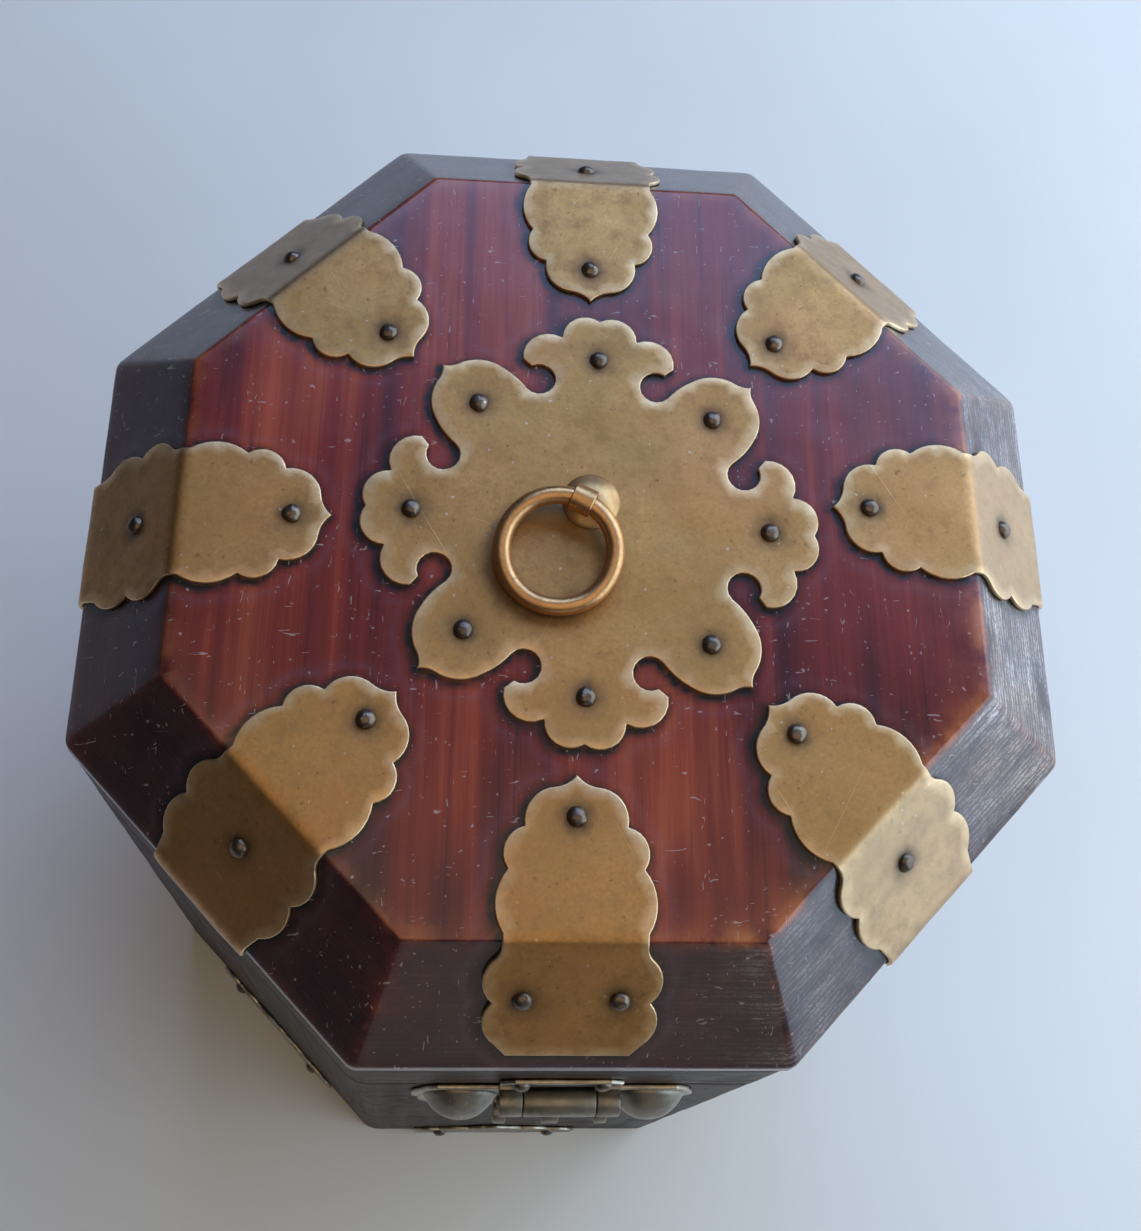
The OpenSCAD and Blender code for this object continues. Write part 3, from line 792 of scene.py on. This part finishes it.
# Streaks along the grain of the lid's top: middle x and y, half width, half length, how much paler
BANDS = [
    (-27, -82, 4.5, 13, -0.36), (-33, -60, 5, 14, 0.10), (-19, -60, 3, 12, -0.20),
    (21, -64, 4, 20, 0.14), (27, -76, 1.8, 16, -0.18), (36, -80, 4, 15, 0.22),
    (62, -34, 2.2, 14, -0.22), (50, -58, 5, 20, -0.12), (-79, -32, 1.4, 15, 0.20),
    (-44, -78, 4, 10, -0.2), (-82, -42, 5, 8, -0.2), (-30, -70, 20, 25, -0.08),
    (76, 0, 26, 60, 0.20), (-52, 36, 10, 12, 0.15), (-22, -84, 2, 5, 0.1), (12, -84, 5, 10, -0.1),
    (62, 12, 9, 38, 0.22), (-80, 25, 8, 15, 0.15), (-48, -22, 4, 18, 0.1), (19, -80, 3.5, 9, -0.28),
    (31, -62, 6, 17, 0.16), (-15, -45, 3, 9, -0.2), (46, -70, 4, 12, -0.15), (72, -16, 9, 22, 0.14)]
# Where round the lid the upper fold is rubbed, and where the bevel is weathered: direction from the
# front towards the right and spread, both in degrees, and amount
RUBBED = [(82, 40, 1.0), (22, 9, 0.7), (-21, 9, 0.4)]
ROUGH = [(69, 12, 1.0), (42, 11, 0.35), (26, 7, 0.25), (97, 24, 0.75)]


def around(a, places):
    return sum(c * math.exp(-((a - at) / spread) ** 2) for at, spread, c in places)


def streaks(p):
    return sum(c * math.exp(-((p.x - x) / w) ** 2 - ((p.y - y) / h) ** 2)
               for x, y, w, h, c in BANDS)


def lid_mesh():
    """Bevelled octagon, rings of vertices from its lower edge up over the bevel and two caps."""
    prof = [Vector(p) for p in (
        (APOTHEM - 0.1, PANEL_Z), (APOTHEM, PANEL_Z + 0.1), (APOTHEM, RIM_Z), (TOP_AP, TOTAL),
        (TOP_AP - 3, TOTAL))]
    prof = [prof[0]] + fillet(prof[1:], [1.1, 1.5], 5)
    fine = []
    for p, q in zip(prof, prof[1:]):
        n = max(1, round((q - p).length / 1.6))
        fine += [p.lerp(q, i / n) for i in range(n)]
    fine.append(prof[-1])
    bm = bmesh.new()
    loops = []
    for ap, z in fine:
        r = 1.2 + 1.8 * min(1, max(0, (ap - TOP_AP) / BEVEL_W))
        loops.append([bm.verts.new((q.x, q.y, z)) for q in octagon_ring(ap, r, 50)])
    skin(bm, loops)
    cap(bm, loops[-1], TOTAL, 1.5)
    cap(bm, loops[0], PANEL_Z, 12)
    return bm


def mount_gaps(places):
    """Distance of each point of the lid from the nearest brass mount, measured over the bevel from
    the point moved by SHADE, so that the painted shadow falls on the mounts' left and near sides.
    """
    away = 200
    gap = np.full(len(places), 99.0)
    for i in range(8):
        back = turn(i).inverted()
        flat = []
        for p in places:
            q = back @ (p + SHADE)
            y = q.y + TOP_AP if q.z > TOTAL - 0.8 else -math.hypot(q.y + TOP_AP, q.z - TOTAL)
            flat.append((q.x - STRAP_SHIFT[i], y if q.y < -45 else away))
        gap = np.minimum(gap, nearest_edge(flat, ccw(strap_outline(i == 0))))
    spin = Matrix.Rotation(math.radians(-MEDAL_TURN), 2)
    flat = [spin @ Vector((p.x + SHADE.x - MEDAL_X, p.y + SHADE.y - MEDAL_Y))
            if p.z > TOTAL - 1 else Vector((away, away)) for p in places]
    return np.minimum(gap, nearest_edge(flat, ccw(medal_outline())))


def lid_board():
    """The lid's board, its faces a little uneven and its edges rubbed down."""
    bm = lid_mesh()
    verts = bm.verts[:]
    places = [v.co.copy() for v in verts]
    wear, grime_and_shadow, weather, grain, band = [], [], [], [], []
    for v, p, gap in zip(verts, places, mount_gaps(places)):
        upper = p.z > PANEL_Z + 1
        fold, low, hip, t = edge_distance(p)
        near = math.exp(-fold / 1.5) + math.exp(-low / 1.2) * 0.45 + math.exp(-hip / 1.3) * 0.6
        a = math.degrees(math.atan2(p.x, -p.y))
        worn = 0.10 + around(a, RUBBED)
        wide = 0.34 * worn * math.exp(-fold / 6) * (p.z > TOTAL - 1.2)
        band.append(streaks(p) if p.z > TOTAL - 1 else 0)
        wear.append(min(1.0, near * (0.35 + 0.65 * min(1, worn)) + wide)
                    * min(1, max(0.1, 1 + 2.5 * band[-1])))
        bevel = upper and fold > 0.5 and p.z < TOTAL - 0.8
        weather.append(min(1.0, 0.02 + around(a, ROUGH)) if bevel else 0.0)
        # grime and painted shadow close round the mounts
        grime_and_shadow.append(math.exp(-gap / 1.5) if upper else 0.0)
        grain.append([c * MM for c in p])
        if upper:
            out = Vector((p.x, p.y, 0)).normalized()
            wave = noise.noise(p * 0.035) * 0.22 + noise.noise(p * 0.15) * 0.07
            rubbed = 0.5 + 0.5 * noise.noise(p * 0.11 + Vector((7, 1, 3)))
            sunk = min(0.0, wave * 0.5 - 0.1 - 0.30 * min(1.0, near) * rubbed)
            v.co.z += sunk * (1 - 0.6 * t)
            v.co += out * sunk * min(1, t * 1.5)
    ob = finish("lid_board", bm, "lid", ["lid_panel"], LID, 30)
    for key, values in (("wear", wear), ("grime_and_shadow", grime_and_shadow), ("weather", weather), ("band", band)):
        paint(ob.data, key, values)
    paint(ob.data, "grain", grain)


def board(name, i, z0, z1, body, mat, nodes, upright_grain, low, top):
    """One side of the rim or of the body: a mitred board with rounded outer corners.

    low and top: how far its lower and upper edge are rounded.
    """
    pts = []
    c = (APOTHEM - CORNER) / math.cos(HALF_SIDE)
    for mid, lo, hi in ((-112.5, -112.5, -90), (-67.5, -90, -67.5)):
        for j in range(7):
            b = math.radians(lo + (hi - lo) * j / 6)
            pts.append(Vector((c * math.cos(math.radians(mid)) + CORNER * math.cos(b),
                               c * math.sin(math.radians(mid)) + CORNER * math.sin(b))))
    pts += [Vector((INNER * TAN, -INNER)), Vector((-INNER * TAN, -INNER))]
    bm = prism(dense(ccw(pts), 6), z0, z1, low, top, 6)
    cut(bm, 2, steps(z0 + 1, z1 - 1, 6))
    rnd = random.Random(i + (40 if upright_grain else 0))
    off = Vector((rnd.random(), rnd.random(), rnd.random()))
    wear, grain = [], []
    for v in bm.verts:
        p = v.co.copy()
        g = Vector((p.x, p.z, p.y)) if upright_grain else Vector((p.z, p.x, p.y))
        grain.append(g * MM + off)
        ends = min(abs(p.z - z0), abs(p.z - z1))
        side = max(0.0, 42 - abs(p.x)) if p.y < -APOTHEM + 6 else 20
        wear.append(min(1, 0.8 * math.exp(-ends / 1.2) + 0.35 * math.exp(-side / 4)))
        if p.y < -INNER - 4:
            v.co.y += (noise.noise(p * 0.05 + Vector((i, 0, 0))) - 0.5) * -0.16
    bm.transform(turn(i))
    ob = finish(name, bm, body, nodes, mat, 32)
    paint(ob.data, "wear", wear)
    paint(ob.data, "grime_and_shadow", [0.0] * len(wear))
    paint(ob.data, "grain", grain)


lid_board()
for i, s in enumerate(SIDES):
    board("rim_" + s, i, JOINT_Z, PANEL_Z, "lid", RIM, ["lid_rail_" + s],
          False, 0.9, 0.25)
    board("side_" + s, i, 0, BODY_TOP, "body", BODY, ["wall_" + s], True, 0.8, 0.9)


def bottom():
    """The board let in between the walls."""
    bm = prism(octagon(INNER - 0.05, 0.5, 1), BOTTOM_Z, FLOOR_Z, 0.4, 0.4, 12)
    ob = finish("bottom_planks", bm, "body", ["bottom_board"], BODY)
    n = len(ob.data.vertices)
    paint(ob.data, "wear", [0.0] * n)
    paint(ob.data, "grime_and_shadow", [0.0] * n)
    paint(ob.data, "grain", [v.co + Vector((0.3, 0, 0.2)) for v in ob.data.vertices])


def lining():
    """Cloth laid on the floor of the box, a little uneven."""
    apothem = INNER - 0.7
    bm = bmesh.new()
    cap(bm, [bm.verts.new((p.x, p.y, 0)) for p in octagon_ring(apothem, 1, 20)], 0, 4)
    for v in bm.verts:
        p = v.co
        low, high = noise.noise(p * 0.03), noise.noise(p * 0.09 + Vector((2, 5, 0)))
        v.co.z = FLOOR_Z + 0.75 + 0.28 * low + 0.14 * high
    ob = finish("cloth_lining", bm, "body", ["floor_lining"], CLOTH)
    thick = ob.modifiers.new("thickness", "SOLIDIFY")
    thick.thickness = 0.0004


bottom()
lining()

# ---- sheet brass ----

# How much painted reflection of the window, a paler brass colour, each strap gets outside its upper
# fold
WINDOW_REFLECTION_BY_SIDE = {"front_right": 0.34, "right": 0.30, "back_right": 0.25, "back": 0.4, "back_left": 0.45}
for i, s in enumerate(SIDES):
    strap = sheet_brass(strap_outline(i == 0), over_bevel, STRAP_NAILS if i else FRONT_NAILS,
                        i + 1, i, STRAP_SHIFT[i], folds=(0, -SLOPE), painted_reflection=WINDOW_REFLECTION_BY_SIDE.get(s, 0.0))
    brass_piece("strap_" + s, [strap], "lid", ["lid_strap_" + s], BRASS)
    foot = sheet_brass(BASE_OUT, upright(0), FOOT_NAILS, i + 21, i, BASE_SHIFT[i])
    brass_piece("foot_mount_" + s, [foot], "body", ["base_mount_" + s], DULL)

# the ring's grime and painted shadow are centred a little to the lower left of the ring
medal = sheet_brass(medal_outline(), on_medal, MEDAL_NAILS, 31, wave=0.2, ring_shadow_at=(-9.2, -10.0))
brass_piece("ring_plate", [medal], "lid", ["medallion"], BRASS)


def knob(side):
    """Round boss beaten up out of the lock plate, with a turned line at its foot."""
    h, r = 5.9, 8.5
    ball = (r * r + h * h) / (2 * h)
    prof = [(0, -0.5), (r - 0.1, -0.5), (r, 0.1), (r - 0.05, 0.5)]
    for i in range(1, 13):
        z = 0.5 + (h - 0.5) * math.sin(math.pi / 2 * i / 12)
        prof.append((math.sqrt(max(0, ball ** 2 - (z - h + ball) ** 2)) if i < 12 else 0, z))
    bm = lathe(prof, 56)
    for v in bm.verts:
        if v.co.z > 1:
            v.co.z += 0.10 * noise.noise(v.co * 0.25 + Vector((side * 9, 0, 0))) - 0.06
    at = Matrix.Translation((side * 21.7, -APOTHEM - SHEET, BODY_TOP - 12.8))
    bm.transform(at @ Matrix.Rotation(math.pi / 2, 4, "X"))
    return bm


def eyes():
    """The lock plate's two eyes, each with its foot on the plate."""
    out = []
    for s in (-1, 1):
        x = s * 12 - 1.5
        out.append(tube(x, x + 3, -LOCK_Y, LOCK_Z, EYE_R, EYE_BORE))
        out.append(block((x, -112.45, LOCK_Z - 2.7), (x + 3, -110.9, LOCK_Z + 2.7), 0.3))
    return out


lock = sheet_brass(LOCK_OUT, upright(BODY_TOP - 1), LOCK_NAILS, 32)
brass_piece("lock_front", [lock], "body", ["lock_plate"], DULL, [knob(-1), knob(1)])
brass_piece("lock_loops", [], "body", ["lock_eyes"], DULL, eyes())


def knuckle(a, b, to, bore=PIN, above=True):
    """Knuckle of a hinge along X with its web, which stands above or below the axis."""
    z0, z1 = WEB_Z if above else (-WEB_Z[1], -WEB_Z[0])
    barrel = tube(a, b, -AXIS_Y, 0, BARREL, bore)
    return join([barrel, block((a, WEB_Y[0], z0), (b, WEB_Y[1], z1))], [to, to])


def hinges():
    """Both hinges: the body's leaves, the lid's leaves and the pins, on the back side."""
    x_in = HINGE_LEN / 2 - KNUCKLE
    upper, lower, lid_extra, body_extra, pins = [], [], [], [], []
    flipped = [Vector((p.x, -p.y)) for p in HINGE_OUT]
    low_nails = [(x, -y) for x, y in HINGE_NAILS]
    place = upright(HINGE_Z)
    for s in (-1, 1):
        at = s * HINGE_X
        to = turn(4) @ Matrix.Translation((at, 0, HINGE_Z))
        upper.append(sheet_brass(HINGE_OUT, place, HINGE_NAILS, 40 + s, 4, at))
        lower.append(sheet_brass(flipped, place, low_nails, 50 + s, 4, at))
        lid_extra.append(knuckle(SLIT - x_in, x_in - SLIT, to, PIN + PLAY))
        for e in (-1, 1):
            a, b = sorted((e * x_in, e * HINGE_LEN / 2))
            body_extra.append(knuckle(a, b, to, above=False))
        pins.append(pin(HINGE_LEN, to))
    brass_piece("hinge_upper_leaves", upper, "lid", ["hinge_lid_leaves"], DULL, lid_extra)
    brass_piece("hinge_lower_leaves", lower, "body", ["hinge_body_leaves"], DULL, body_extra)
    finish("hinge_rods", join(pins), "body", ["hinge_pins"], NAIL)


def pin(length, to):
    """Pin along X with domed ends."""
    h = length / 2 + 0.6
    end = [(PIN - 0.01, h - 0.6), (PIN - 0.15, h - 0.3), (0.7, h - 0.08), (0, h)]
    bm = lathe([(r, -z) for r, z in end[::-1]] + end)
    bm.transform(to @ Matrix.Translation((0, -AXIS_Y, 0)) @ Matrix.Rotation(math.pi / 2, 4, "Y"))
    return bm


def hasp_parts():
    """The hasp's leaf on the lid with its outer knuckles, its pin, and the hasp itself."""
    at = Matrix.Translation((0, 0, HASP_Z))
    x_in = HASP_LEN / 2 - KNUCKLE
    outer = KNUCKLE - SLIT
    extra = [knuckle(a, a + outer, at) for a in (-HASP_LEN / 2, HASP_LEN / 2 - outer)]
    leaf = sheet_brass(LEAF_OUT, upright(HASP_Z), LEAF_NAILS, 61)
    brass_piece("hasp_upper_leaf", [leaf], "lid", ["hasp_leaf"], DULL, extra)
    finish("hasp_rod", pin(HASP_LEN, at), "lid", ["hasp_pin"], NAIL)
    barrel = tube(-x_in, x_in, -AXIS_Y, HASP_Z, BARREL, PIN + PLAY)
    eye = tube(-2, 2, -LOCK_Y, LOCK_Z, EYE_R, EYE_BORE)
    base = block((-2, -112.8, LOCK_Z - 2.7), (2, -112.0, LOCK_Z + 2.7), 0.2)
    plate = [p for p in HASP_OUT if p.y < -2.5] + [Vector((-8, -3)), Vector((8, -3))]
    plate = sorted(plate, key=lambda p: math.atan2(p.y + 20, p.x))
    flap = sheet_brass(plate, upright(HASP_Z, HASP_Y), [], 62)
    brass_piece("hasp_flap", [flap], "hasp", ["hasp"], DULL, [barrel, eye, base])


hinges()
hasp_parts()

# ---- nails ----


def nail_head(seed):
    """Round head, hammered a little out of true."""
    bm = lathe([(0, -0.4), (1.95, -0.4), (2.18, -0.05), (2.2, 0.2), (2.1, 0.55), (1.85, 0.92),
                (1.5, 1.2), (1.1, 1.42), (0.6, 1.56), (0.2, 1.6), (0, 1.6)])
    for v in bm.verts:
        n = noise.noise(v.co * 0.6 + Vector((seed * 3.1, 0, seed)))
        n += 0.4 * noise.noise(v.co * 1.7 + Vector((0, seed, 0)))
        if v.co.z > 0:
            v.co *= 1 - 0.10 * (n + 0.4)
    return bm


def nail_place(place, x, y, side=0, shift=0.0):
    """Matrix that stands a nail head on a mount."""
    x += shift
    p = place(x, y, NAIL_SEAT)
    up = (place(x, y, NAIL_SEAT + 1) - p).normalized()
    q = (place(x, y + 0.5, NAIL_SEAT) - p).normalized()
    m = Matrix((q.cross(up), q, up)).transposed().to_4x4()
    m.translation = p
    return turn(side) @ m


def nails():
    """The heads on the lid and on the body, each group one piece, each head turned its own way."""
    lid, body = [], []
    for i in range(8):
        lid.append(nail_place(on_medal, *MEDAL_NAILS[i]))
        for at in STRAP_NAILS if i else FRONT_NAILS:
            lid.append(nail_place(over_bevel, *at, i, STRAP_SHIFT[i]))
        for at in FOOT_NAILS:
            body.append(nail_place(upright(0), *at, i, BASE_SHIFT[i]))
    for s, leaf_nail in zip((-1, 1), LEAF_NAILS):
        for x, y in HINGE_NAILS:
            lid.append(nail_place(upright(HINGE_Z), x, y, 4, s * HINGE_X))
            body.append(nail_place(upright(HINGE_Z), x, -y, 4, s * HINGE_X))
        lid.append(nail_place(upright(HASP_Z), *leaf_nail))
    for at in LOCK_NAILS:
        body.append(nail_place(upright(BODY_TOP), *at))
    for name, where, node, rides in (("lid_nail_heads", lid, "lid_nails", "lid"),
                                     ("body_nail_heads", body, "body_nails", "body")):
        rnd = random.Random(len(where))
        spin = []
        for m in where:
            m = m @ Matrix.Rotation(rnd.uniform(0, 6), 4, "Z")
            spin.append(m @ Matrix.Rotation(rnd.uniform(-0.05, 0.05), 4, "X"))
        heads = [nail_head(k) for k in range(len(where))]
        finish(name, join(heads, spin), rides, [node], NAIL, 50)


nails()

# ---- ring pull ----

EYE = Matrix.Translation((-1.4, 2.9, 276.6)) @ Matrix.Rotation(math.radians(245), 4, "Z")
RING_R, WIRE, EYE_H = 12.3, 2.05, 5.6  # EYE_H: height of the eye above the plate
DROP = math.asin((EYE_H - WIRE - 0.1) / (2 * RING_R))  # the ring lies down to 0.1 above the plate


def ring():
    """A wire ring through the eye, bent and worn a little unevenly."""
    round_it, round_wire = 128, 22
    bm = bmesh.new()
    loops = []
    for i in range(round_it):
        a = 2 * math.pi * i / round_it
        row = []
        for j in range(round_wire):
            b = 2 * math.pi * j / round_wire
            n = noise.noise(Vector((math.cos(a) * 1.6, math.sin(a) * 1.6, math.cos(b) * 0.35)))
            r = WIRE * (0.985 + 0.03 * n)
            bent = 0.12 * noise.noise(Vector((math.cos(a), math.sin(a), 4)))
            out = RING_R + bent * (1 - math.cos(a + math.pi)) + r * math.cos(b)
            row.append(bm.verts.new((out * math.cos(a), out * math.sin(a), r * math.sin(b))))
        loops.append(row)
    for a, b in zip(loops, loops[1:] + loops[:1]):
        for j in range(round_wire):
            k = (j + 1) % round_wire
            bm.faces.new((a[j], b[j], b[k], a[k]))
    bm.transform(EYE @ Matrix.Rotation(DROP, 4, "Y") @ Matrix.Translation((RING_R, 0, 0)))
    finish("ring", bm, "ring", ["pull_ring"], RING, 60)


def ring_eye():
    """Strap folded over the ring's wire, its two legs side by side down into the boss."""
    r = 2.75
    path = [Vector((-3.35, -5.7)), Vector((-3.3, -4.4))]
    for i in range(19):
        a = math.radians(195 - 340 * i / 18)
        path.append(Vector((r * math.cos(a), r * math.sin(a))))
    path += [Vector((-2.45, -4.2)), Vector((-2.45, -5.7))]
    half, wide, off = 0.34, 2.5, 0.2  # half thickness, half width, broken edge
    thin, slim = half - off, wide - off
    section = ((-slim, half), (slim, half), (wide, thin), (wide, -thin),
               (slim, -half), (-slim, -half), (-wide, -thin), (-wide, thin))
    bm = bmesh.new()
    rows = []
    for i, p in enumerate(path):
        d = (path[min(i + 1, len(path) - 1)] - path[max(i - 1, 0)]).normalized()
        n = Vector((-d.y, d.x))
        rows.append([])
        for w, h in section:
            q = p + n * h
            rows[-1].append(bm.verts.new((q.x, w, q.y)))
    for a, b in zip(rows, rows[1:]):
        for j in range(8):
            bm.faces.new((a[j], b[j], b[(j + 1) % 8], a[(j + 1) % 8]))
    bm.faces.new(rows[0])
    bm.faces.new(rows[-1][::-1])
    bm.transform(EYE)
    finish("ring_strap", bm, "lid", ["ring_eye"], RING, 40)


def boss():
    """The dome that the eye stands in."""
    bm = lathe([(0, 0), (6.2, 0), (6.45, 0.12), (6.3, 0.34), (5.7, 0.72), (4.8, 1.32), (3.7, 1.92),
                (2.5, 2.35), (1.2, 2.56), (0, 2.6)], 48)
    bm.transform(Matrix.Translation((0.9, 5.0, TOTAL + SHEET - 0.05)))
    brass_piece("ring_dome", [], "lid", ["ring_boss"], BRASS, [bm])


ring()
ring_eye()
boss()

# ---- floor, light and camera (metres) ----


def floor():
    bm = bmesh.new()
    bmesh.ops.create_grid(bm, x_segments=2, y_segments=2, size=6)
    me = bpy.data.meshes.new("floor")
    bm.to_mesh(me)
    bm.free()
    ob = bpy.data.objects.new("floor", me)
    bpy.context.collection.objects.link(ob)
    k = Mat("pale_floor")
    g = k.node("TexCoord").outputs["Object"]
    tone = k.span(k.noise(g, 6.0, 3, 0.5), 0.3, 0.7, 0.80, 0.86)
    grey = k.node("CombineColor", {0: tone, 1: tone, 2: tone}).outputs[0]
    warm = k.mix(1.0, grey, (1.0, 0.93, 0.84, 1), "MULTIPLY")
    me.materials.append(k.out(Base_Color=warm, Roughness=0.75))


def lamp(name, at, to, size, power, colour):
    """A soft rectangular light that faces a point; power in watts."""
    data = bpy.data.lights.new(name, "AREA")
    data.shape = "RECTANGLE"
    data.size, data.size_y = size
    data.energy = power
    data.color = colour
    ob = bpy.data.objects.new(name, data)
    bpy.context.collection.objects.link(ob)
    ob.location = at
    ob.rotation_euler = (Vector(to) - Vector(at)).to_track_quat("-Z", "Y").to_euler()


floor()
lamp("window_right", (0.85, 0.08, 0.52), (0, 0.05, 0.12), (1.9, 0.95), 16, (0.62, 0.80, 1.0))
lamp("window_back", (0.46, 1.24, 1.52), (0, 0, 0.25), (1.8, 1.1), 23.5, (0.36, 0.56, 1.0))
lamp("fill_front", (0.14, -1.20, 0.42), (0, 0, 0.2), (0.7, 0.4), 0.4, (1.0, 0.95, 0.85))
lamp("soft_top", (-0.06, -0.36, 1.45), (0, 0, 0.25), (1.3, 1.3), 4.1, (1.0, 0.80, 0.57))
world = bpy.data.worlds.new("studio")
bpy.context.scene.world = world
bpy.context.scene.view_settings.view_transform = "Standard"
world.use_nodes = True
sky = world.node_tree.nodes["Background"]
sky.inputs["Color"].default_value = (0.86, 0.92, 1.0, 1)
sky.inputs["Strength"].default_value = 0.045

cam_data = bpy.data.cameras.new("camera")
cam = bpy.data.objects.new("camera", cam_data)
bpy.context.collection.objects.link(cam)
bpy.context.scene.camera = cam
cam_data.lens = 49.88
cam_data.sensor_width = 36
cam_data.shift_x = -0.042
cam_data.shift_y = -0.190
cam_data.clip_start = 0.01
# Steeply down from the front left, turned about the line of sight
cam.matrix_world = (
    Matrix.Translation((-0.0340, -0.1379, 0.6194))
    @ Matrix.Rotation(math.radians(-13.67), 4, "Z")
    @ Matrix.Rotation(math.radians(90 - 62.96), 4, "X")
    @ Matrix.Rotation(math.radians(14.77), 4, "Z")
)
